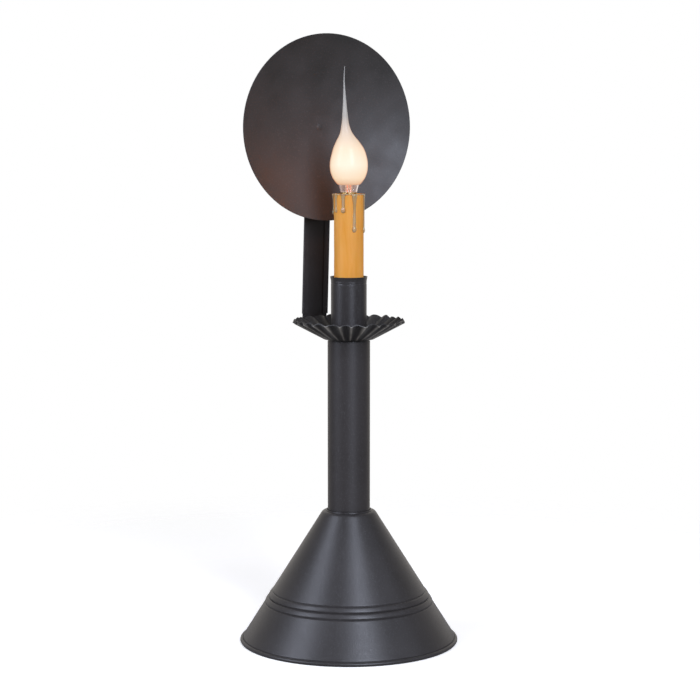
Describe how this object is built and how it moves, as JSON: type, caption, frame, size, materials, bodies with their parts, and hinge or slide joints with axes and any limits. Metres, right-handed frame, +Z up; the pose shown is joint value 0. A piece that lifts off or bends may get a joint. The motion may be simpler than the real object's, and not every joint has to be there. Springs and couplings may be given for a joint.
{
  "type": "table lamp",
  "caption": "Cone-footed accent lamp with a pleated drip pan, a wax candle sleeve, a flame bulb that unscrews and a dished reflector on a hemmed strip.",
  "frame": {"origin": "centre of the base on the surface that the lamp stands on", "axes": "+Z up along the lamp's stem; +Y towards the reflector behind the candle"},
  "size_m": [0.1644, 0.1644, 0.4569],
  "materials": {
    "satin_black_paint": "satin",
    "zinc_plated_steel": "satin",
    "brass": "satin",
    "black_plastic": "matte",
    "socket_black": "satin",
    "tan_wax": "satin",
    "pale_wax": "satin",
    "clear_glass": "gloss",
    "silicone_coat": "satin",
    "filament": "satin"
  },
  "bodies": {
    "stand": {"base_cone": "satin_black_paint", "rim_wire": "zinc_plated_steel", "cord_bushing": "black_plastic", "base_washer": "zinc_plated_steel", "base_locknut": "zinc_plated_steel", "foot_ring": "satin_black_paint", "column_tube": "satin_black_paint", "top_ring": "satin_black_paint", "stem_pipe": "zinc_plated_steel", "reflector_strip": "satin_black_paint", "reflector_dish": "satin_black_paint", "reflector_rivet": "satin_black_paint", "drip_pan": "satin_black_paint", "candle_cup": "satin_black_paint", "cup_lock_washer": "zinc_plated_steel", "cup_nut": "zinc_plated_steel", "socket_leg": "zinc_plated_steel", "socket_body": "socket_black", "socket_screw_shell": "brass", "socket_contact": "brass", "socket_rivet": "brass", "terminal_screws": "brass"},
    "candle": {"candle_sleeve": "tan_wax", "wax_drips": "pale_wax"},
    "bulb_foot": {"bulb_insulator": "black_plastic", "bulb_foot_contact": "zinc_plated_steel"},
    "bulb": {"bulb_screw_base": "brass", "bulb_glass": "clear_glass", "bulb_coat": "silicone_coat", "bulb_stem": "clear_glass", "bulb_lead_wires": "zinc_plated_steel", "bulb_filament": "filament"}
  },
  "joints": [
    {"name": "candle_turn", "type": "hinge", "parent": "stand", "child": "candle", "pos_m": [0, 0, 0.2844], "axis": [0, 0, 1], "continuous": true},
    {"name": "bulb_lift", "type": "slide", "parent": "stand", "child": "bulb_foot", "axis": [0, 0, 1], "range_m": [0, 0.0093]},
    {"name": "bulb_unscrew", "type": "hinge", "parent": "bulb_foot", "child": "bulb", "pos_m": [0, 0, 0.33], "axis": [0, 0, 1], "range_deg": [0, 1260]}
  ],
  "couplings": [
    {"joint": "bulb_lift", "follows": "bulb_unscrew", "m_per_rad": 0.00040425}
  ]
}
